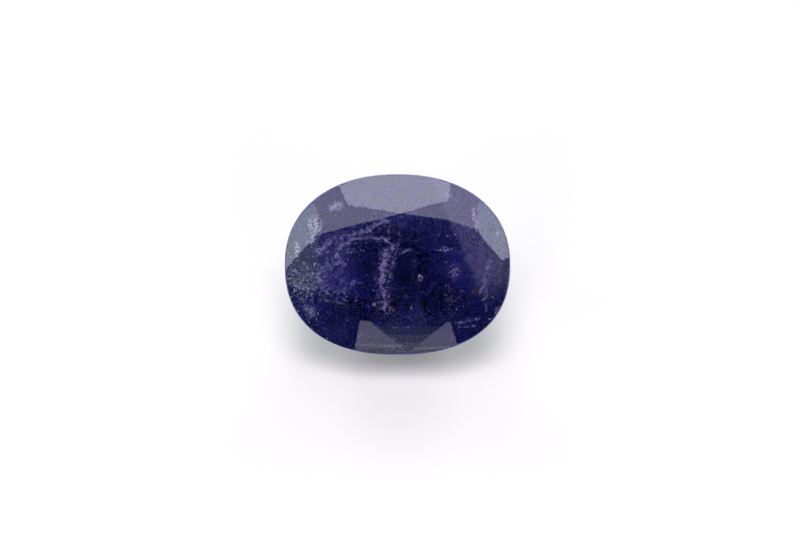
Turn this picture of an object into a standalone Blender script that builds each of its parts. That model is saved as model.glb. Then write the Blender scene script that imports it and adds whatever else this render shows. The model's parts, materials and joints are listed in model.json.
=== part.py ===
"""Oval cut iolite, 10 x 8 mm: one solid, ground facet by facet from an oval blank.

The stone is cut in its own axes, in millimetres: U along its length, V across it, and W up through
the table, with W = 0 at the girdle. It is then turned so that it lies on one broad pavilion facet,
with the table leaning towards -Y.
"""

import math

import bmesh
import bpy
from mathutils import Matrix, Vector

MM = 0.001

# Oval blank
LENGTH = 10.0
WIDTH = 8.0
CROWN_HEIGHT = 0.85
GIRDLE_DEPTH = 0.30
BLANK_DEPTH = 5.5
BACK_SQUARENESS = 2.20
FRONT_SQUARENESS = 2.35
GIRDLE_DRAFT = 8.0
OUTLINE_POINTS = 96

# Upper pavilion: steep facets all round, just under the girdle
UPPER_PAVILION_COUNT = 16
UPPER_PAVILION_SLOPE = 62.0
UPPER_PAVILION_TURN = 9.0

# The facet that the stone lies on faces the front (azimuth 180)
REST_SLOPE = 40.0
REST_AXIS_DEPTH = 4.88

# Places where the facets meet the table's edge, as (U, V)
TABLE_BACK = (0.22, 2.25)
TABLE_BACK_RIGHT = (2.19, 1.97)
TABLE_RIGHT_SHOULDER = (3.65, 1.29)
TABLE_LEFT_SHOULDER = (-3.47, 1.33)
TABLE_LEFT_END = (-3.45, 0.0)
TABLE_FRONT = (0.50, -2.06)
TABLE_FRONT_RIGHT = (2.30, -1.78)
TABLE_FRONT_LEFT = (-1.90, -1.79)
TABLE_RIGHT_LOWER = (3.70, -1.35)
TABLE_LEFT_LOWER = (-3.38, -1.38)

# Azimuths run clockwise from the back, seen from above the table, and slopes are from the table's
# plane. Each crown facet passes through a point (U, V) at the given height above the girdle.
CROWN_FACETS = (
    # azimuth, slope, point, height
    (0.0, 26.5, TABLE_BACK, CROWN_HEIGHT),
    (0.0, 30.5, (1.55, 2.67), 0.64),
    (8.0, 19.0, TABLE_BACK, CROWN_HEIGHT),
    (18.0, 20.0, TABLE_BACK_RIGHT, CROWN_HEIGHT),
    (18.0, 31.0, (2.41, 2.79), 0.54),
    (65.0, 40.5, TABLE_RIGHT_SHOULDER, CROWN_HEIGHT),
    (75.0, 28.0, TABLE_RIGHT_SHOULDER, CROWN_HEIGHT),
    (90.0, 44.0, (4.26, 0.0), CROWN_HEIGHT),
    (104.0, 26.0, TABLE_RIGHT_LOWER, CROWN_HEIGHT),
    (122.0, 38.5, TABLE_RIGHT_LOWER, CROWN_HEIGHT),
    (140.0, 28.5, (2.32, -2.43), 0.68),
    (164.0, 17.0, TABLE_FRONT_RIGHT, CROWN_HEIGHT),
    (171.0, 14.6, TABLE_FRONT, CROWN_HEIGHT),
    (175.3, 27.0, (0.51, -3.96), -0.02),
    (180.0, 24.5, TABLE_FRONT, CROWN_HEIGHT),
    (185.0, 27.2, (0.51, -3.96), -0.02),
    (186.5, 17.5, TABLE_FRONT, CROWN_HEIGHT),
    (193.0, 19.0, TABLE_FRONT_LEFT, CROWN_HEIGHT),
    (208.0, 28.0, (-1.77, -2.46), 0.62),
    (240.0, 34.0, TABLE_LEFT_LOWER, CROWN_HEIGHT),
    (270.0, 27.0, TABLE_LEFT_END, CROWN_HEIGHT),
    (285.0, 36.5, TABLE_LEFT_SHOULDER, CROWN_HEIGHT),
    (344.0, 28.5, (-2.15, 2.65), 0.66),
    (346.0, 11.2, TABLE_BACK, CROWN_HEIGHT),
)

# Each lower pavilion facet would cross the stone's axis at the given depth below the girdle.
PAVILION_FACETS = (
    # azimuth, slope, depth on the axis
    (180.0, REST_SLOPE, REST_AXIS_DEPTH),
    (126.0, 43.0, 5.30),
    (90.0, 40.5, 5.02),
    (57.0, 42.0, 5.06),
    (2.0, 44.5, 4.86),
    (306.0, 43.0, 5.12),
    (270.0, 39.5, 4.90),
    (232.0, 42.5, 5.22),
    (178.0, 15.0, 4.31),
    (3.0, 18.0, 4.36),
)

STONE_COLOUR = (0.045, 0.035, 0.22, 1.0)
STONE_ROUGHNESS = 0.04
STONE_IOR = 1.54


def outline():
    """Points round the girdle: a superellipse, a little squarer at the front than at the back."""
    points = []
    for step in range(OUTLINE_POINTS):
        angle = math.tau * step / OUTLINE_POINTS
        across, along = math.cos(angle), math.sin(angle)
        power = 2.0 / (BACK_SQUARENESS if across > 0 else FRONT_SQUARENESS)
        u = LENGTH / 2 * math.copysign(abs(along) ** power, along)
        v = WIDTH / 2 * math.copysign(abs(across) ** power, across)
        points.append((u, v))
    return points


def outward(azimuth, slope, side):
    """The unit normal of a facet, on the crown (side 1) or on the pavilion (side -1)."""
    turn, lean = math.radians(azimuth), math.radians(slope)
    return Vector((math.sin(turn) * math.sin(lean), math.cos(turn) * math.sin(lean), side * math.cos(lean)))


def oval_blank():
    """A prism with the girdle's outline, drawn in towards the table by the girdle's draft."""
    blank = bmesh.new()
    inset = (CROWN_HEIGHT + GIRDLE_DEPTH) * math.tan(math.radians(GIRDLE_DRAFT))
    rings = []
    for height, shrink in ((-BLANK_DEPTH, 0.0), (-GIRDLE_DEPTH, 0.0), (CROWN_HEIGHT, inset)):
        along, across = 1 - shrink / (LENGTH / 2), 1 - shrink / (WIDTH / 2)
        rings.append([blank.verts.new((u * along, v * across, height)) for u, v in outline()])
    for lower, upper in zip(rings, rings[1:]):
        for here in range(OUTLINE_POINTS):
            there = (here + 1) % OUTLINE_POINTS
            blank.faces.new((lower[here], lower[there], upper[there], upper[here]))
    blank.faces.new(rings[0])
    blank.faces.new(rings[-1])
    return blank


def grind(stone, point, normal):
    """Take away what stands outside a plane, and close the stone with the new flat facet."""
    everything = stone.verts[:] + stone.edges[:] + stone.faces[:]
    cut = bmesh.ops.bisect_plane(
        stone, geom=everything, dist=1e-5, plane_co=point, plane_no=normal, clear_outer=True
    )
    rim = [piece for piece in cut["geom_cut"] if isinstance(piece, bmesh.types.BMEdge)]
    bmesh.ops.contextual_create(stone, geom=rim)


def cut_stone():
    """The whole stone in its own axes, in millimetres."""
    stone = oval_blank()
    for azimuth, slope, (u, v), height in CROWN_FACETS:
        grind(stone, Vector((u, v, height)), outward(azimuth, slope, 1))
    for index in range(UPPER_PAVILION_COUNT):
        azimuth = UPPER_PAVILION_TURN + 360.0 * index / UPPER_PAVILION_COUNT
        normal = outward(azimuth, UPPER_PAVILION_SLOPE, -1)
        u, v = max(outline(), key=lambda place: place[0] * normal.x + place[1] * normal.y)
        grind(stone, Vector((u, v, -GIRDLE_DEPTH)), normal)
    for azimuth, slope, depth in PAVILION_FACETS:
        grind(stone, Vector((0, 0, -depth)), outward(azimuth, slope, -1))
    bmesh.ops.recalc_face_normals(stone, faces=stone.faces[:])
    return stone


def lie_down(stone):
    """Turn the stone onto its rest facet, with the middle of its box over the origin, in metres."""
    turn = Matrix.Rotation(math.radians(REST_SLOPE), 4, "X")
    bmesh.ops.transform(stone, matrix=Matrix.Scale(MM, 4) @ turn, verts=stone.verts[:])
    lowest = [min(vertex.co[axis] for vertex in stone.verts) for axis in range(3)]
    highest = [max(vertex.co[axis] for vertex in stone.verts) for axis in range(3)]
    middle = Vector(((lowest[0] + highest[0]) / 2, (lowest[1] + highest[1]) / 2, lowest[2]))
    bmesh.ops.translate(stone, vec=-middle, verts=stone.verts[:])


def crystal_material():
    material = bpy.data.materials.new("iolite")
    material.use_nodes = True
    shader = material.node_tree.nodes["Principled BSDF"]
    shader.inputs["Base Color"].default_value = STONE_COLOUR
    shader.inputs["Roughness"].default_value = STONE_ROUGHNESS
    shader.inputs["Metallic"].default_value = 0.0
    shader.inputs["IOR"].default_value = STONE_IOR
    shader.inputs["Transmission Weight"].default_value = 1.0
    return material


def build():
    for leftover in list(bpy.data.objects):
        bpy.data.objects.remove(leftover)
    stone = cut_stone()
    lie_down(stone)
    mesh = bpy.data.meshes.new("iolite_gem")
    stone.to_mesh(mesh)
    stone.free()
    mesh.materials.append(crystal_material())
    gem = bpy.data.objects.new("iolite_gem", mesh)
    bpy.context.scene.collection.objects.link(gem)
    return gem


build()
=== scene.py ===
"""The looks of the oval iolite: polished and frosted faces, the minerals inside it, and a plain studio.

Places in the stone are given in its own axes, in millimetres: U along its length, V across it, and
W up through the table, with W = 0 at the girdle. The studio is in metres, in the frame's axes.
"""

import json
import math

import bmesh
import bpy
import numpy as np
from mathutils import Matrix, Vector

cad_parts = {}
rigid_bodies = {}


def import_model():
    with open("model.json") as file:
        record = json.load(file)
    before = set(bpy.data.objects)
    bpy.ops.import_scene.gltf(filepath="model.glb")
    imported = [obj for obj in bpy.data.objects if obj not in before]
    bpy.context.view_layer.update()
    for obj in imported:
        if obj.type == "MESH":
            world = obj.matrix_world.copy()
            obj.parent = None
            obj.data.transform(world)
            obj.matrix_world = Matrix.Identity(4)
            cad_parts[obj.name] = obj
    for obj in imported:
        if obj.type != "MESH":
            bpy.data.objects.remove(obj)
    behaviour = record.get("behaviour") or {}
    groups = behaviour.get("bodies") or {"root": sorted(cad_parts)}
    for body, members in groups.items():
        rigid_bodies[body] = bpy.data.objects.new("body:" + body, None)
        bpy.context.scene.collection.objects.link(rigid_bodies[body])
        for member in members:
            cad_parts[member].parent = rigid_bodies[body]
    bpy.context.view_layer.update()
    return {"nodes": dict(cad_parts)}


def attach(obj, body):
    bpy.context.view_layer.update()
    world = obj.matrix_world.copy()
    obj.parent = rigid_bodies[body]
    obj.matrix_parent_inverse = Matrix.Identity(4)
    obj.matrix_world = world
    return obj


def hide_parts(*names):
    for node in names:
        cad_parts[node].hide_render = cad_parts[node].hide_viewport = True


MM = 0.001
BODY = "root"
NODE = "iolite_gem"
SEED = 7

# The stone's own axes in the frame, in millimetres and degrees
TABLE_TILT = 40.0
STONE_ORIGIN = Vector((0.0, -0.299, 3.738))
TO_FRAME = Matrix.Translation(STONE_ORIGIN) @ Matrix.Rotation(math.radians(TABLE_TILT), 4, "X")
TO_STONE = TO_FRAME.inverted()

# Photograph: the pixel where the stone's origin is seen, and the size of a pixel there in mm
PHOTO_SIZE = (800, 533)
PHOTO_CENTRE = (397.5, 264.5)
PIXEL = 0.04425
CAMERA_LENS = 150.0
CAMERA_SENSOR = 36.0
CAMERA_ELEVATION = 50.0

# Two faces are of one facet if their normals and their reaches are this close
SAME_NORMAL = 0.99999
SAME_REACH = 0.01
LEAST_AREA = 1e-11
# A facet belongs to the crown if its normal rises by more than this
CROWN_RISE = 0.3

# Crystal: merged points in mm, merged and worn edges in degrees, and the worn bevel in mm
IOR = 1.54
ABSORB_COLOUR = (0.06, 0.04, 0.52)
ABSORB_DENSITY = 1280.0
POLISH_ROUGHNESS = 0.015
POINT_MERGE = 0.0005
FACET_MERGE = 0.3
SHARP_EDGE = 4.5
EDGE_WEAR = 0.013

# Frosted girdle: faces whose normals rise by less than the lean
GIRDLE_LEAN = 0.35
FROST_BASE = (0.08, 0.11, 0.42)
FROST_DARK = (0.025, 0.04, 0.22)
FROST_PALE = (0.10, 0.14, 0.52)
FROST_ROUGHNESS = 0.85
FROST_TRANSMISSION = 0.3
FROST_BLOTCH_SCALE = 4000
FROST_GRIT_SCALE = 30000
FROST_GRIT_HEIGHT = 0.00003

# Minerals inside the stone: dark colour, pale colour, and how finely one turns into the other
MINERAL_ROUGHNESS = 0.6
MINERALS = {
    "haze": ((0.020, 0.035, 0.46), (0.13, 0.14, 0.82), 20000),
    "haze_bright": ((0.06, 0.07, 0.56), (0.32, 0.30, 0.95), 20000),
    "plum_haze": ((0.15, 0.12, 0.30), (0.56, 0.48, 0.78), 12000),
    "lilac_veil": ((0.46, 0.35, 0.92), (0.90, 0.80, 1.0), 14000),
    "white_veil": ((0.66, 0.66, 0.96), (0.98, 0.97, 1.0), 14000),
    "cream_grain": ((0.80, 0.73, 0.60), (0.97, 0.95, 0.92), 9000),
    "brown_plate": ((0.04, 0.008, 0.008), (0.22, 0.040, 0.018), 24000),
}

# Smallest and largest flake of each kind
HAZE_SIZES = (0.010, 0.020)
DEEP_SIZES = (0.020, 0.036)
PLUM_SIZES = (0.009, 0.022)
SPECK_SIZES = (0.012, 0.032)
VEIL_SIZES = (0.007, 0.017)
BRIGHT_SIZES = (0.010, 0.022)
DUST_SIZES = (0.007, 0.016)
CREAM_LEAST, CREAM_TYPICAL, CREAM_MOST = 0.012, 0.012, 0.045

# Depth under the surface: the least, and how far the flakes typically lie below that
HAZE_DEPTH = (0.10, 0.34)
DEEP_DEPTH = (0.65, 0.40)
PLUM_DEPTH = (0.04, 0.12)
LOWER_DEPTH = (0.05, 0.25)
SPECK_DEPTH = (0.04, 0.15)
CREAM_CROWD_DEPTH = (0.03, 0.10)
CREAM_TRAIL_DEPTH = (0.03, 0.08)
CREAM_LOOSE_DEPTH = (0.03, 0.25)

# Flakes of each kind, or the places tried for them
HAZE_FLAKES = 60000
LOWER_HAZE_FLAKES = 46000
DEEP_HAZE_TRIES = 40000
PLUM_FLAKES = 25000
SPECK_TRIES = 1000
DUST_TRIES = 14000
NICKS_PER_MM = 1.6

# Veils of lilac flakes: route as (u, v), how far the threads wander, width of the cloud round them,
# depth under the surface, number of threads, and flakes in the cloud
THREAD_FLAKES = 300
THREAD_WIDTH = 0.024
VEILS = (
    (((-3.50, 0.45), (-3.20, 0.85), (-2.94, 1.03), (-2.43, 1.25), (-1.84, 1.36), (-1.25, 1.50),
      (-0.84, 1.80), (-0.29, 1.91)), 0.050, 0.14, 0.08, 4, 1500),
    (((-2.75, 0.60), (-2.28, 0.94), (-1.84, 1.14), (-1.25, 1.16), (-0.66, 1.14), (-0.29, 0.91),
      (-0.15, 0.62)), 0.030, 0.10, 0.08, 3, 800),
    (((-3.33, -1.00), (-3.42, -0.45), (-3.20, -0.08), (-2.65, 0.12), (-2.21, -0.02)),
     0.060, 0.20, 0.10, 3, 1100),
    (((-3.35, -1.08), (-2.94, -1.25), (-2.43, -1.20), (-2.02, -0.93), (-1.91, -0.60)),
     0.070, 0.22, 0.14, 2, 800),
    (((-3.10, -0.20), (-2.70, -0.50), (-2.30, -0.80)), 0.16, 0.36, 0.30, 2, 700),
    (((-0.50, 0.70), (-0.57, 0.14), (-0.70, -0.30), (-0.74, -0.82), (-0.62, -1.26), (-0.55, -1.70),
      (-0.55, -2.22)), 0.090, 0.22, 0.06, 4, 1500),
    (((-0.52, 0.50), (-0.58, 0.10), (-0.62, -0.30), (-0.64, -0.80)), 0.060, 0.10, 0.04, 2, 800),
    (((-0.20, 0.60), (-0.13, 0.14), (-0.29, -0.30), (-0.44, -0.75)), 0.035, 0.09, 0.10, 1, 160),
    (((0.17, 2.17), (0.12, 1.76), (0.07, 1.32), (0.05, 0.91), (-0.13, 0.36)), 0.030, 0.15, 0.12, 1, 120),
    (((-0.33, 2.00), (-0.38, 1.50), (-0.30, 1.10)), 0.030, 0.12, 0.12, 1, 80),
    (((0.05, 0.45), (0.34, 0.58), (0.66, 0.66)), 0.020, 0.06, 0.10, 1, 50),
    (((3.93, 0.20), (3.95, -0.45), (3.80, -0.93), (3.55, -1.30)), 0.070, 0.15, 0.10, 2, 420),
    (((3.92, -0.89), (3.90, -1.50), (3.88, -2.15)), 0.014, 0.06, 0.08, 1, 60),
    (((3.31, 2.43), (3.36, 2.20), (3.44, 2.06), (3.51, 1.58)), 0.020, 0.06, 0.03, 4, 400),
    (((-2.98, 2.43), (-2.68, 2.56), (-2.43, 2.72)), 0.045, 0.09, 0.03, 8, 700),
    (((-3.24, -1.56), (-2.72, -1.63), (-2.13, -1.78)), 0.010, 0.05, 0.06, 1, 60),
    (((-2.60, -1.40), (-2.20, -1.62)), 0.010, 0.04, 0.06, 1, 30),
    (((2.52, -2.55), (3.11, -2.48), (3.64, -2.38)), 0.024, 0.06, 0.06, 2, 120),
    (((2.66, -2.74), (3.05, -2.74), (3.47, -2.69)), 0.018, 0.05, 0.06, 1, 60),
    (((-4.00, -1.80), (-3.82, -2.04), (-3.66, -2.30)), 0.060, 0.10, 0.05, 4, 160),
    (((-4.45, -0.88), (-4.30, -1.08), (-4.20, -1.32)), 0.008, 0.03, 0.04, 1, 20),
    (((-1.82, -1.38), (-1.76, -1.52), (-1.86, -1.64)), 0.008, 0.02, 0.04, 2, 10),
    (((-4.60, 0.95), (-4.20, 1.02), (-3.72, 0.98)), 0.006, 0.03, 0.02, 1, 10),
    (((-4.45, 1.55), (-4.05, 1.80), (-3.62, 1.92)), 0.006, 0.03, 0.02, 1, 10),
    (((1.80, 3.20), (2.30, 3.00), (2.75, 2.70)), 0.006, 0.03, 0.02, 1, 10),
)

# Single grains and little stacks of plates: u, v, size
CREAM_SPOTS = (
    (-2.68, 0.40, 0.085),
    (-3.09, 0.55, 0.045),
    (-3.64, 0.03, 0.055),
    (-1.03, -1.78, 0.065),
    (3.81, -1.52, 0.055),
    (4.06, -2.40, 0.040),
    (0.60, -1.89, 0.035),
    (0.23, 3.70, 0.030),
)
BROWN_SPOTS = (
    (3.42, -1.20, 0.17),
    (-1.17, -1.56, 0.06),
)

# Where the haze is thicker or thinner: centre (u, v), spread along u and v, strength
HAZE_PATCHES = (
    (0.35, 0.10, 0.75, 1.00, -0.85),
    (-1.45, 0.20, 0.50, 0.90, -0.50),
    (-0.80, -1.80, 1.20, 0.50, -0.22),
    (1.90, -1.30, 0.90, 0.90, -0.22),
    (-2.30, -1.80, 0.50, 0.30, -0.30),
    (3.20, 1.10, 0.70, 0.80, 0.30),
    (1.90, 1.10, 0.90, 0.50, 0.30),
    (-2.65, 0.95, 0.80, 0.70, 0.45),
    (-2.60, -0.75, 0.50, 0.35, 0.80),
    (-3.85, -1.95, 0.60, 0.50, 0.60),
    (3.80, -1.70, 0.50, 0.50, 0.25),
)

# The greyer plum haze just under the surface: its edge on the right runs along u = at - slant * v
PLUM_EDGE_AT = 3.13
PLUM_EDGE_SLANT = 0.42
PLUM_PATCHES = (
    (-2.60, 1.00, 0.75, 0.50, 0.42),
    (-2.75, -0.10, 0.45, 0.60, 0.22),
    (-4.10, -0.60, 0.50, 1.00, 0.28),
    (4.30, -0.70, 0.50, 0.80, 0.10),
    (-2.90, -3.00, 0.80, 0.40, 0.28),
    (0.80, -2.50, 1.60, 0.35, 0.10),
)

# Clouds of flakes: centre (u, v), half spread, depth under the surface, flakes
CLOUDS = (
    ((-3.97, 1.14), (0.05, 0.10), 0.04, 80),
    ((1.00, -0.56), (0.05, 0.07), 0.04, 260),
    ((2.52, -0.30), (0.16, 0.18), 0.10, 520),
    ((2.07, 0.66), (0.20, 0.06), 0.08, 320),
    ((0.75, 0.07), (0.08, 0.12), 0.10, 50),
    ((4.40, 1.39), (0.06, 0.06), 0.03, 90),
    ((4.25, -0.60), (0.20, 0.40), 0.06, 120),
    ((2.35, -1.50), (0.12, 0.50), 0.12, 160),
    ((-1.39, 2.94), (0.12, 0.12), 0.05, 90),
    ((-0.06, -2.60), (0.20, 0.40), 0.15, 220),
    ((1.10, -2.25), (0.30, 0.15), 0.20, 150),
    ((-2.60, -0.55), (0.45, 0.35), 0.40, 300),
)

# The same for the clouds of whiter flakes
BRIGHT_CLOUDS = (
    ((-3.60, 1.68), (0.13, 0.20), 0.03, 900),
    ((-3.72, 1.10), (0.05, 0.16), 0.03, 220),
    ((-3.86, 1.80), (0.05, 0.10), 0.03, 160),
    ((-4.42, 0.66), (0.06, 0.14), 0.03, 320),
    ((3.36, 2.20), (0.03, 0.16), 0.03, 160),
    ((3.48, 1.75), (0.03, 0.14), 0.03, 120),
    ((-2.72, 2.56), (0.14, 0.09), 0.03, 220),
    ((-3.85, -2.05), (0.14, 0.16), 0.04, 110),
)

# The haze also varies in waves: strength, wavelength
HAZE_BASE = 0.52
HAZE_WAVES = ((0.15, 1.6), (0.20, 0.45), (0.24, 0.16))
HAZE_LEAST = 0.03

# The lower haze is sorted in this many parts, to keep the memory that it takes small
HAZE_PARTS = 40

# Cream grains: middle and spread of the crowd at the left end and of the two short trails
CREAM_CROWD = ((-4.15, -1.15), (0.5, 0.75))
CREAM_TRAILS = (
    ((-2.75, 0.42), (0.28, 0.12)),
    ((-2.10, 0.62), (0.30, 0.16)),
)
GRAINS_IN_SPOT = 6
PLATES_IN_SPOT = 60

# Studio, in metres: the floor, and the near round of it that the stone may mirror
FLOOR_COLOUR = (0.86, 0.83, 0.71)
FLOOR_NEAR_RADIUS = 0.019
FLOOR_FAR_RADIUS = 0.12
FLOOR_FAR_DROP = 0.000001
ROOM_COLOUR = (0.02, 0.02, 0.022)
WALL_COLOUR = (1.0, 1.0, 1.0)

# Soft lamps: name, place, size, the point that it faces, brightness, colour
VIOLET = (0.87, 0.83, 1.0)
COOL = (0.76, 0.85, 1.0)
NEUTRAL = (0.84, 0.84, 1.0)
LAMPS = (
    ("key", (0.005, 0.125, 0.35), (0.16, 0.15), (0.005, 0.125, 0), 3.6, VIOLET),
    ("overhead", (0.005, 0.02, 0.36), (0.27, 0.31), (0.005, 0.02, 0), 2.75, VIOLET),
    ("side_right", (0.32, 0.075, 0.14), (0.16, 0.16), (0, 0.075, 0.14), 4.4, COOL),
    ("side_left", (-0.32, 0.02, 0.135), (0.16, 0.16), (0, 0.02, 0.135), 4.7, COOL),
    ("back_right", (0.141, 0.244, 0.103), (0.12, 0.12), (0, 0, 0), 8.0, COOL),
    ("back_left", (-0.141, 0.244, 0.103), (0.12, 0.12), (0, 0, 0), 8.0, COOL),
    ("front_right", (0.141, -0.244, 0.103), (0.12, 0.12), (0, 0, 0), 8.6, NEUTRAL),
    ("front_left", (-0.141, -0.244, 0.103), (0.12, 0.12), (0, 0, 0), 8.6, NEUTRAL),
    ("back", (0, 0.246, 0.172), (0.12, 0.12), (0, 0, 0), 2.8, COOL),
    ("fill_right", (0.258, -0.12, 0.145), (0.20, 0.16), (0, 0, 0), 0.35, COOL),
    ("fill_left", (-0.26, -0.12, 0.145), (0.20, 0.16), (0, 0, 0), 0.9, COOL),
    ("low_right", (0.30, -0.005, 0.012), (0.08, 0.024), (0, -0.005, 0.012), 0.25, COOL),
)

# A low card in front of the stone, in strips that are dimmer towards its top: top of the strip, brightness
CARD_WIDTH = 0.010
CARD_STEP = 0.0004
CARD_DISTANCE = 0.018
FRONT_CARDS = (
    (0.0004, 1.8),
    (0.0008, 1.85),
    (0.0012, 1.7),
    (0.0016, 1.2),
    (0.0020, 0.7),
    (0.0024, 0.3),
)


class Shape:
    """The convex stone as its facet planes, in its own axes: normals, and distances from the origin."""

    def __init__(self, mesh):
        normals, reaches = [], []
        turn = TO_STONE.to_3x3()
        for face in mesh.polygons:
            normal = (turn @ face.normal).normalized()
            reach = normal.dot(TO_STONE @ (face.center / MM))
            known = any(
                normal.dot(other) > SAME_NORMAL and abs(reach - far) < SAME_REACH
                for other, far in zip(normals, reaches)
            )
            if not known and face.area > LEAST_AREA:
                normals.append(normal)
                reaches.append(reach)
        self.normals = np.array([tuple(normal) for normal in normals])
        self.reaches = np.array(reaches)

    def top(self, u, v):
        """The height of the crown's surface over each (u, v)."""
        upper = self.normals[:, 2] > CROWN_RISE
        normals, reaches = self.normals[upper], self.reaches[upper]
        heights = (reaches - np.outer(u, normals[:, 0]) - np.outer(v, normals[:, 1])) / normals[:, 2]
        return heights.min(axis=1)

    def inside(self, places, margin):
        """Which places are at least a margin inside every facet."""
        return (places @ self.normals.T < self.reaches - margin).all(axis=1)

    def beneath(self, u, v, depth, margin=0.02):
        """Places at a depth under the crown's surface, without the ones that would leave the stone."""
        places = np.column_stack((u, v, self.top(u, v) - depth))
        return places[self.inside(places, margin)]


def waves(u, v, length, rng, count=14):
    """Smooth noise over (u, v) with a typical wavelength, between about -1 and 1."""
    total = np.zeros_like(u)
    for _ in range(count):
        heading, phase = rng.uniform(0, math.tau, 2)
        step = math.tau / (length * rng.uniform(0.6, 1.6))
        total += np.sin((u * math.cos(heading) + v * math.sin(heading)) * step + phase)
    return total / math.sqrt(count / 2) / 1.6


def bump(u, v, u0, v0, du, dv):
    """A soft round hill of height 1 at (u0, v0)."""
    return np.exp(-((u - u0) / du) ** 2 - ((v - v0) / dv) ** 2)


def ramp(x, middle, width):
    """A soft step from 0 to 1."""
    return 1 / (1 + np.exp((middle - x) / width))


def scattered(count, half_length, front, back, rng):
    """Places spread evenly over a stretch of the stone, as u and v."""
    return rng.uniform(-half_length, half_length, count), rng.uniform(front, back, count)


def gathered(middle, spread, count, rng):
    """Places gathered round a point, as u and v."""
    return rng.normal(middle[0], spread[0], count), rng.normal(middle[1], spread[1], count)


def sunk(depth, count, rng):
    """Depths that start at a least one and grow rarer below it."""
    least, typical = depth
    return least + rng.exponential(typical, count)


def new_material(name):
    material = bpy.data.materials.new(name)
    material.use_nodes = True
    return material, material.node_tree, material.node_tree.nodes["Principled BSDF"]


def crystal(name, colour, roughness, transmission):
    """See-through iolite: plain transmission, and a violet-blue absorption."""
    material, tree, shader = new_material(name)
    shader.inputs["Base Color"].default_value = (*colour, 1.0)
    shader.inputs["Roughness"].default_value = roughness
    shader.inputs["IOR"].default_value = IOR
    shader.inputs["Transmission Weight"].default_value = transmission
    absorb = tree.nodes.new("ShaderNodeVolumeAbsorption")
    absorb.inputs["Color"].default_value = (*ABSORB_COLOUR, 1.0)
    absorb.inputs["Density"].default_value = ABSORB_DENSITY
    tree.links.new(absorb.outputs["Volume"], tree.nodes["Material Output"].inputs["Volume"])
    return material


def two_colours(tree, factor, dark, pale):
    """A mix of two colours into the material's base colour."""
    mix = tree.nodes.new("ShaderNodeMix")
    mix.data_type = "RGBA"
    mix.inputs["A"].default_value = (*dark, 1.0)
    mix.inputs["B"].default_value = (*pale, 1.0)
    tree.links.new(factor, mix.inputs["Factor"])
    tree.links.new(mix.outputs["Result"], tree.nodes["Principled BSDF"].inputs["Base Color"])


def frosted():
    """The ground girdle: a dull grainy skin on the same crystal."""
    material = crystal("iolite_frosted", FROST_BASE, FROST_ROUGHNESS, FROST_TRANSMISSION)
    tree = material.node_tree
    place = tree.nodes.new("ShaderNodeTexCoord")
    blotch = tree.nodes.new("ShaderNodeTexNoise")
    blotch.inputs["Scale"].default_value = FROST_BLOTCH_SCALE
    blotch.inputs["Detail"].default_value = 6
    blotch.inputs["Roughness"].default_value = 0.7
    shade = tree.nodes.new("ShaderNodeMapRange")
    shade.inputs["From Min"].default_value = 0.35
    shade.inputs["From Max"].default_value = 0.65
    grit = tree.nodes.new("ShaderNodeTexNoise")
    grit.inputs["Scale"].default_value = FROST_GRIT_SCALE
    relief = tree.nodes.new("ShaderNodeBump")
    relief.inputs["Distance"].default_value = FROST_GRIT_HEIGHT
    relief.inputs["Strength"].default_value = 0.6
    tree.links.new(place.outputs["Object"], blotch.inputs["Vector"])
    tree.links.new(place.outputs["Object"], grit.inputs["Vector"])
    tree.links.new(blotch.outputs["Fac"], shade.inputs["Value"])
    two_colours(tree, shade.outputs["Result"], FROST_DARK, FROST_PALE)
    tree.links.new(grit.outputs["Fac"], relief.inputs["Height"])
    tree.links.new(relief.outputs["Normal"], tree.nodes["Principled BSDF"].inputs["Normal"])
    return material


def mineral(name):
    """A dull mineral that varies between two colours from flake to flake."""
    dark, pale, scale = MINERALS[name]
    material, tree, shader = new_material(name)
    place = tree.nodes.new("ShaderNodeTexCoord")
    mottle = tree.nodes.new("ShaderNodeTexNoise")
    mottle.inputs["Scale"].default_value = scale
    tree.links.new(place.outputs["Object"], mottle.inputs["Vector"])
    two_colours(tree, mottle.outputs["Fac"], dark, pale)
    shader.inputs["Roughness"].default_value = MINERAL_ROUGHNESS
    return material


def crystal_body(node):
    """The cut stone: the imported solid's facets, with a narrow worn bevel along every edge."""
    mesh = node.data.copy()
    mesh.name = "cut_crystal"
    mesh.materials.clear()
    stone = bmesh.new()
    stone.from_mesh(mesh)
    bmesh.ops.scale(stone, vec=(1 / MM,) * 3, verts=stone.verts[:])
    bmesh.ops.remove_doubles(stone, verts=stone.verts[:], dist=POINT_MERGE)
    bmesh.ops.dissolve_limit(
        stone, angle_limit=math.radians(FACET_MERGE), verts=stone.verts[:], edges=stone.edges[:]
    )
    sharp = [edge for edge in stone.edges if edge.calc_face_angle(0.0) > math.radians(SHARP_EDGE)]
    bmesh.ops.bevel(
        stone,
        geom=sharp,
        offset=EDGE_WEAR,
        offset_type="OFFSET",
        segments=1,
        affect="EDGES",
        clamp_overlap=True,
    )
    up = TO_FRAME.to_3x3() @ Vector((0, 0, 1))
    for face in stone.faces:
        face.normal_update()
        face.material_index = 1 if abs(face.normal.dot(up)) < GIRDLE_LEAN else 0
    bmesh.ops.scale(stone, vec=(MM,) * 3, verts=stone.verts[:])
    stone.to_mesh(mesh)
    stone.free()
    body = bpy.data.objects.new("cut_crystal", mesh)
    bpy.context.scene.collection.objects.link(body)
    mesh.materials.append(crystal("iolite_polished", (1.0, 1.0, 1.0), POLISH_ROUGHNESS, 1.0))
    mesh.materials.append(frosted())
    return body


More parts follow.
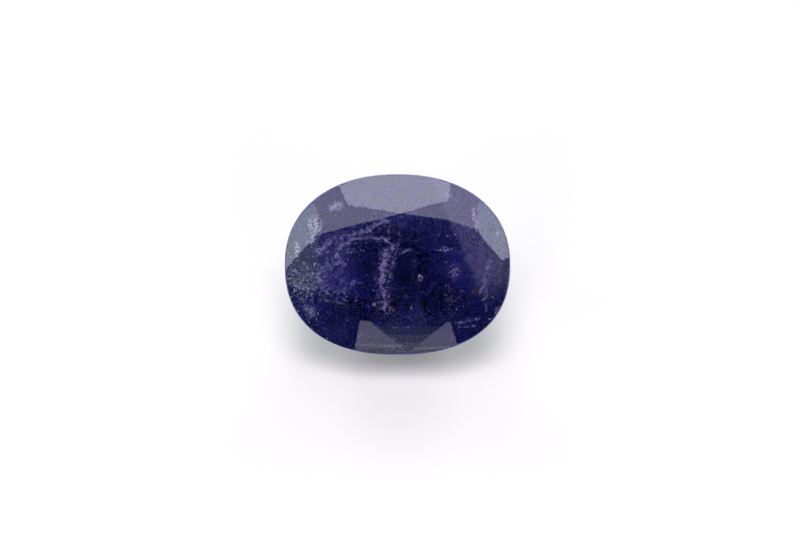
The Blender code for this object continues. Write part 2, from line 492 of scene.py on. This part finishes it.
def flakes(name, places, sizes, material, rng, lean=0.5, thickness=0.5):
    """One mesh of small three-cornered flakes, lying roughly along the table."""
    count = len(places)
    tilt = rng.normal(0, lean, count)
    turn = rng.uniform(0, math.tau, count)
    spin = rng.uniform(0, math.tau, count)
    normal = np.column_stack((np.sin(tilt) * np.cos(turn), np.sin(tilt) * np.sin(turn), np.cos(tilt)))
    side = np.cross(normal, np.column_stack((np.cos(spin), np.sin(spin), np.zeros(count))))
    side /= np.linalg.norm(side, axis=1, keepdims=True)
    other = np.cross(normal, side)
    corners = np.empty((count, 4, 3))
    for corner in range(3):
        angle = math.tau * corner / 3 + rng.uniform(-0.4, 0.4, count)
        reach = (sizes * rng.uniform(0.7, 1.3, count))[:, None]
        corners[:, corner] = places + reach * (np.cos(angle)[:, None] * side + np.sin(angle)[:, None] * other)
    corners[:, 3] = places - (sizes * thickness)[:, None] * normal
    turned = corners.reshape(-1, 3) @ np.array(TO_FRAME.to_3x3()).T + np.array(TO_FRAME.translation)
    first = np.arange(count)[:, None, None] * 4
    faces = (first + np.array([[0, 1, 2], [1, 0, 3], [2, 1, 3], [0, 2, 3]])).reshape(-1, 3)
    mesh = bpy.data.meshes.new(name)
    mesh.from_pydata((turned * MM).tolist(), [], faces.tolist())
    mesh.materials.append(material)
    piece = bpy.data.objects.new(name, mesh)
    bpy.context.scene.collection.objects.link(piece)
    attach(piece, BODY)
    return piece


def haze_weight(u, v, rng):
    """How thick the blue haze is over a place: thin at the dark middle, thick towards the back and left."""
    weight = np.full_like(u, HAZE_BASE)
    for strength, length in HAZE_WAVES:
        weight += strength * waves(u, v, length, rng)
    for u0, v0, du, dv, strength in HAZE_PATCHES:
        weight += strength * bump(u, v, u0, v0, du, dv)
    weight += 0.50 * ramp(v, 2.0, 0.2)
    return np.clip(weight, HAZE_LEAST, None)


def haze(shape, rng):
    """Fine flakes all through the upper stone, in clouds."""
    u, v = scattered(HAZE_FLAKES * 4, 5, -4, 4, rng)
    kept = rng.uniform(0, 2.0, len(u)) < haze_weight(u, v, rng)
    u, v = u[kept], v[kept]
    return shape.beneath(u, v, sunk(HAZE_DEPTH, len(u), rng))[:HAZE_FLAKES]


def haze_below(shape, rng):
    """The same fine flakes under the facets of the pavilion and the girdle, so that these look deep too."""
    places = rng.uniform((-5, -4, -4.5), (5, 4, 0.6), (LOWER_HAZE_FLAKES * 24, 3))
    nearest, below = [], []
    for part in np.array_split(places, HAZE_PARTS):
        depths = shape.reaches - part @ shape.normals.T
        nearest.append(depths.min(axis=1))
        below.append(shape.normals[depths.argmin(axis=1), 2] < CROWN_RISE)
    nearest, below = np.concatenate(nearest), np.concatenate(below)
    cloudy = waves(places[:, 0] + 0.6 * places[:, 2], places[:, 1], 1.2, rng)
    cloudy += rng.uniform(-1.3, 1.3, len(places))
    least, typical = LOWER_DEPTH
    shallow = nearest - least < rng.exponential(typical, len(places))
    kept = below & (nearest > least) & shallow & (cloudy > -0.4)
    return places[kept][:LOWER_HAZE_FLAKES]


def deep_haze(shape, rng):
    """Larger flakes far down, which keep the gaps of the fine haze a deep blue."""
    u, v = scattered(DEEP_HAZE_TRIES, 4.6, -3.6, 3.6, rng)
    kept = rng.uniform(0, 1.0, len(u)) < haze_weight(u, v, rng)
    return shape.beneath(u[kept], v[kept], sunk(DEEP_DEPTH, kept.sum(), rng), margin=0.2)


def plum_haze(shape, rng):
    """Greyer flakes close under the surface: at the back, the right shoulder and in a few patches."""
    u, v = scattered(PLUM_FLAKES * 10, 4.9, -3.9, 3.9, rng)
    weight = 0.008 + 0.20 * ramp(v, 1.50, 0.20)
    weight += 1.60 * ramp(u + PLUM_EDGE_SLANT * v, PLUM_EDGE_AT, 0.06) * np.clip((v + 1.8) / 2, 0, 1)
    for u0, v0, du, dv, strength in PLUM_PATCHES:
        weight += strength * bump(u, v, u0, v0, du, dv)
    weight *= 1 + 0.30 * waves(u, v, 0.5, rng) + 0.35 * waves(u, v, 0.14, rng)
    kept = rng.uniform(0, 1.6, len(u)) < weight
    return shape.beneath(u[kept], v[kept], sunk(PLUM_DEPTH, kept.sum(), rng))[:PLUM_FLAKES]


def specks(shape, rng):
    """Single greyer flakes, everywhere but at the back."""
    u, v = scattered(SPECK_TRIES, 4.6, -3.8, 2.2, rng)
    return shape.beneath(u, v, sunk(SPECK_DEPTH, len(u), rng))


def along(route, fractions):
    """Places at fractions of a route's points, and the direction across the route there."""
    points, steps = np.array(route), np.arange(len(route))
    ends = []
    for shift in (0.0, 0.02):
        at = (fractions * 0.98 + shift) * (len(route) - 1)
        ends.append(np.column_stack((np.interp(at, steps, points[:, 0]), np.interp(at, steps, points[:, 1]))))
    run = ends[1] - ends[0]
    run /= np.linalg.norm(run, axis=1, keepdims=True)
    return ends[0], np.column_stack((-run[:, 1], run[:, 0]))


def threads(route, wander, count, rng):
    """Fine wavering lines of flakes along a route, each one broken into stretches."""
    length = np.linalg.norm(np.diff(np.array(route), axis=0), axis=1).sum()
    parts = []
    for _ in range(count):
        fractions = rng.uniform(0, 1, int(THREAD_FLAKES * length))
        run, still = fractions * length, np.zeros(len(fractions))
        sway = wander * (waves(run, still, 0.9, rng) + 0.35 * waves(run, still, 0.22, rng))
        whole = waves(run, still, 0.45, rng) + rng.normal(0, 0.35, len(run)) > 0.20
        middle, across = along(route, fractions)
        places = middle + across * (sway + rng.normal(0, THREAD_WIDTH, len(run)))[:, None]
        parts.append(places[whole])
    return np.concatenate(parts)


def cloud_along(route, width, count, rng):
    """A soft cloud of flakes along a route, patchy both ways."""
    fractions = rng.uniform(0, 1, count * 3)
    offset = rng.normal(0, 1, count * 3) * width
    middle, across = along(route, fractions)
    places = middle + across * offset[:, None]
    u, v = places[:, 0], places[:, 1]
    patchy = waves(u, v, 0.28, rng) + 0.7 * waves(u, v, 0.09, rng)
    return places[patchy + rng.uniform(-0.4, 0.4, len(places)) > 0.45][:count]


def clouds(shape, rows, rng):
    """Little patchy clouds of flakes."""
    parts = []
    for middle, spread, depth, count in rows:
        u, v = gathered(middle, spread, count * 2, rng)
        fine = waves(u, v, 0.15, rng) > 0.0
        u, v = u[fine], v[fine]
        parts.append(shape.beneath(u, v, depth + np.abs(rng.normal(0, 0.05, len(u)))))
    return np.concatenate(parts)


def veil(shape, places, width, depth, rng):
    """Places of a veil at their depths: deeper in some stretches than in others."""
    u, v = places[:, 0], places[:, 1]
    below = depth + np.abs(rng.normal(0, 0.04 + 0.3 * width, len(places)))
    below += 0.22 * np.clip(waves(u, v, 0.20, rng), 0, None)
    return shape.beneath(u, v, below)


def veils(shape, rng):
    """Ragged feathers: threads of flakes in a wider, patchy cloud."""
    parts = []
    for route, wander, width, depth, count, in_cloud in VEILS:
        lines = threads(route, wander, count, rng)
        around = cloud_along(route, 0.8 * width, int(1.5 * in_cloud), rng)
        parts.append(veil(shape, lines, width, depth, rng))
        parts.append(veil(shape, around, width, depth, rng))
    parts.append(clouds(shape, CLOUDS, rng))
    return np.concatenate(parts)


def cream_grains(shape, rng):
    """Pale grains crowded at the left end, two short trails of them, and loose ones."""
    u, v = gathered(*CREAM_CROWD, 900, rng)
    crowd = shape.beneath(u, v, sunk(CREAM_CROWD_DEPTH, len(u), rng))[:640]
    u, v = np.concatenate([gathered(middle, spread, 40, rng) for middle, spread in CREAM_TRAILS], axis=1)
    trails = shape.beneath(u, v, sunk(CREAM_TRAIL_DEPTH, len(u), rng))
    u, v = scattered(500, 4.6, -3.4, 2.4, rng)
    kept = (u < 0) | (rng.uniform(0, 1, len(u)) < 0.5)
    loose = shape.beneath(u[kept], v[kept], sunk(CREAM_LOOSE_DEPTH, kept.sum(), rng))[:300]
    return np.concatenate((crowd, trails, loose))


def cream_spots(shape, rng):
    """Places and sizes of the flakes that make up each larger cream spot."""
    spots = np.repeat(np.array(CREAM_SPOTS), GRAINS_IN_SPOT, axis=0)
    size = spots[:, 2]
    u, v = (spots[:, axis] + rng.normal(0, 0.45, len(spots)) * size for axis in (0, 1))
    places = np.column_stack((u, v, shape.top(u, v) - size - 0.04))
    return places, size * rng.uniform(0.4, 0.9, len(spots))


def brown_plates(shape, rng):
    """Places and sizes of the red-brown plates, in ragged little stacks."""
    parts = []
    for u0, v0, size in BROWN_SPOTS:
        turn = rng.uniform(0, math.tau, PLATES_IN_SPOT)
        reach = size * np.sqrt(rng.uniform(0, 1, PLATES_IN_SPOT))
        reach = reach * (0.75 + 0.25 * np.sin(turn * 2 + 1.0) + 0.15 * np.sin(turn * 5))
        u, v = u0 + 1.25 * reach * np.cos(turn), v0 + 0.8 * reach * np.sin(turn)
        parts.append(np.column_stack((u, v, shape.top(u, v) - 0.10 - rng.uniform(0, 0.08, len(u)))))
    places = np.concatenate(parts)
    sizes = np.repeat([size for _, _, size in BROWN_SPOTS], PLATES_IN_SPOT)
    return places, sizes * rng.uniform(0.12, 0.28, len(places))


def edge_nicks(shape, body, rng):
    """Tiny bright nicks along the sharp edges of the crown."""
    mesh, places = body.data, []
    for edge in mesh.edges:
        ends = [TO_STONE @ (mesh.vertices[index].co / MM) for index in edge.vertices]
        length = (ends[1] - ends[0]).length
        if length < 0.4 or min(end.z for end in ends) < 0.1:
            continue
        for share in rng.uniform(0, 1, rng.poisson(length * NICKS_PER_MM)):
            places.append(tuple(ends[0].lerp(ends[1], share)))
    places = np.array(places)
    depth = rng.uniform(0.010, 0.018, len(places))
    return shape.beneath(places[:, 0], places[:, 1], depth, margin=0.007)


def fine_dust(shape, body, rng):
    """Dust close under the surface, thicker in patches towards the back and most at a spot on the left of the
    back, which makes the top facets paler there, and the nicks along the edges.
    """
    u, v = scattered(DUST_TRIES, 4.8, -3.9, 3.95, rng)
    # More flakes are kept in patches and at a spot left of the back, which makes the top facets paler there
    patchy_cover = 0.6 + 0.5 * waves(u, v, 0.9, rng) + 0.8 * bump(u, v, -1.4, 3.2, 1.3, 0.8)
    kept = rng.uniform(0, 1, len(u)) < 0.03 + 0.60 * np.clip(patchy_cover, 0, None) * ramp(v, 1.9, 0.25)
    dust = shape.beneath(u[kept], v[kept], rng.uniform(0.010, 0.025, kept.sum()), margin=0.020)
    return np.concatenate((dust, edge_nicks(shape, body, rng)))


def hazes(shape, rng):
    """The blue haze and the plum haze, and the specks."""
    blue, bright, plum = mineral("haze"), mineral("haze_bright"), mineral("plum_haze")
    upper, lower = haze(shape, rng), haze_below(shape, rng)
    for name, grains, material in (("upper", upper, blue), ("lower", lower, bright)):
        for half, part in zip("ab", np.array_split(grains, 2)):
            flakes(f"haze_{name}_{half}", part, rng.uniform(*HAZE_SIZES, len(part)), material, rng)
    grains = deep_haze(shape, rng)
    flakes("haze_deep", grains, rng.uniform(*DEEP_SIZES, len(grains)), blue, rng)
    grains = plum_haze(shape, rng)
    flakes("haze_plum", grains, rng.uniform(*PLUM_SIZES, len(grains)), plum, rng)
    grains = specks(shape, rng)
    flakes("specks", grains, rng.uniform(*SPECK_SIZES, len(grains)), plum, rng, lean=0.9, thickness=0.8)


def inclusions(shape, body):
    """Everything inside the crystal, each kind of grain as a mesh of its own."""
    rng = np.random.default_rng(SEED)
    hazes(shape, rng)
    lilac, white = mineral("lilac_veil"), mineral("white_veil")
    grains = veils(shape, rng)
    flakes("veil_flakes", grains, rng.uniform(*VEIL_SIZES, len(grains)), lilac, rng)
    grains = clouds(shape, BRIGHT_CLOUDS, rng)
    sizes = rng.uniform(*BRIGHT_SIZES, len(grains))
    flakes("bright_flakes", grains, sizes, white, rng, lean=0.4, thickness=0.3)
    cream, brown = mineral("cream_grain"), mineral("brown_plate")
    grains = cream_grains(shape, rng)
    sizes = np.minimum(CREAM_LEAST + rng.exponential(CREAM_TYPICAL, len(grains)), CREAM_MOST)
    flakes("cream_grains", grains, sizes, cream, rng, lean=0.8, thickness=1.0)
    grains, sizes = cream_spots(shape, rng)
    flakes("cream_spots", grains, sizes, cream, rng, lean=0.6, thickness=0.8)
    grains, sizes = brown_plates(shape, rng)
    flakes("brown_plates", grains, sizes, brown, rng, lean=0.2, thickness=0.3)
    grains = fine_dust(shape, body, rng)
    flakes("fine_dust", grains, rng.uniform(*DUST_SIZES, len(grains)), lilac, rng, lean=0.3, thickness=0.4)


def area_light(name, place, size, aim, radiance, colour):
    """A flat soft light of an even brightness, facing a point and not seen by the camera."""
    light = bpy.data.lights.new(name, "AREA")
    light.shape = "RECTANGLE"
    light.size, light.size_y = size
    light.energy = radiance * math.pi * size[0] * size[1]
    light.color = colour
    lamp = bpy.data.objects.new(name, light)
    lamp.location = place
    lamp.rotation_mode = "QUATERNION"
    lamp.rotation_quaternion = (Vector(aim) - Vector(place)).to_track_quat("-Z", "Y")
    lamp.visible_camera = False
    bpy.context.scene.collection.objects.link(lamp)
    return lamp


def floor_disc(name, radius, height, material):
    """A flat round of white floor."""
    disc = bmesh.new()
    bmesh.ops.create_circle(disc, cap_ends=True, segments=96, radius=radius)
    bmesh.ops.translate(disc, vec=(0, 0, height), verts=disc.verts[:])
    mesh = bpy.data.meshes.new(name)
    disc.to_mesh(mesh)
    disc.free()
    mesh.materials.append(material)
    floor = bpy.data.objects.new(name, mesh)
    bpy.context.scene.collection.objects.link(floor)
    return floor


def room():
    """A dark room for the stone to mirror, behind which the camera sees a pale wall."""
    world = bpy.data.worlds.new("room")
    world.use_nodes = True
    tree = world.node_tree
    dark = tree.nodes["Background"]
    dark.inputs["Color"].default_value = (*ROOM_COLOUR, 1.0)
    wall = tree.nodes.new("ShaderNodeBackground")
    wall.inputs["Color"].default_value = (*WALL_COLOUR, 1.0)
    seen = tree.nodes.new("ShaderNodeLightPath")
    either = tree.nodes.new("ShaderNodeMixShader")
    tree.links.new(seen.outputs["Is Camera Ray"], either.inputs["Fac"])
    tree.links.new(dark.outputs["Background"], either.inputs[1])
    tree.links.new(wall.outputs["Background"], either.inputs[2])
    tree.links.new(either.outputs["Shader"], tree.nodes["World Output"].inputs["Surface"])
    return world


def studio():
    """A white floor under soft lamps above and all round, with a low dim card in front of the stone."""
    material, _, shader = new_material("white_sweep")
    shader.inputs["Base Color"].default_value = (*FLOOR_COLOUR, 1.0)
    shader.inputs["Roughness"].default_value = 0.9
    floor_disc("floor_near", FLOOR_NEAR_RADIUS, 0.0, material)
    far = floor_disc("floor_far", FLOOR_FAR_RADIUS, -FLOOR_FAR_DROP, material)
    far.visible_glossy = False
    for name, place, size, aim, radiance, colour in LAMPS:
        area_light(name, place, size, aim, radiance, colour)
    for top, radiance in FRONT_CARDS:
        middle = top - CARD_STEP / 2
        place, size = (0.0, -CARD_DISTANCE, middle), (CARD_WIDTH, CARD_STEP)
        area_light("front_card", place, size, (0, 0, middle), radiance, VIOLET)
    bpy.context.scene.world = room()
    bpy.context.scene.view_settings.view_transform = "Standard"


def camera():
    """A long lens at the photograph's angle, aimed so that the stone sits where the photograph has it."""
    lens = bpy.data.cameras.new("camera")
    lens.lens, lens.sensor_width = CAMERA_LENS, CAMERA_SENSOR
    lens.clip_start, lens.clip_end = 0.01, 10.0
    rise = math.radians(CAMERA_ELEVATION)
    back = Vector((0, -math.cos(rise), math.sin(rise)))
    up = Vector((0, math.sin(rise), math.cos(rise)))
    right_px = PHOTO_SIZE[0] / 2 - PHOTO_CENTRE[0]
    down_px = PHOTO_SIZE[1] / 2 - PHOTO_CENTRE[1]
    aim = STONE_ORIGIN + (Vector((1, 0, 0)) * right_px - up * down_px) * PIXEL
    distance = PHOTO_SIZE[0] * PIXEL * CAMERA_LENS / CAMERA_SENSOR
    viewer = bpy.data.objects.new("camera", lens)
    viewer.location = (aim + back * distance) * MM
    viewer.rotation_mode = "QUATERNION"
    viewer.rotation_quaternion = (-back).to_track_quat("-Z", "Y")
    bpy.context.scene.collection.objects.link(viewer)
    bpy.context.scene.camera = viewer


def main():
    for leftover in list(bpy.data.objects):
        bpy.data.objects.remove(leftover)
    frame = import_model()
    node = frame["nodes"][NODE]
    shape = Shape(node.data)
    body = crystal_body(node)
    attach(body, BODY)
    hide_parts(NODE)
    inclusions(shape, body)
    studio()
    camera()


main()
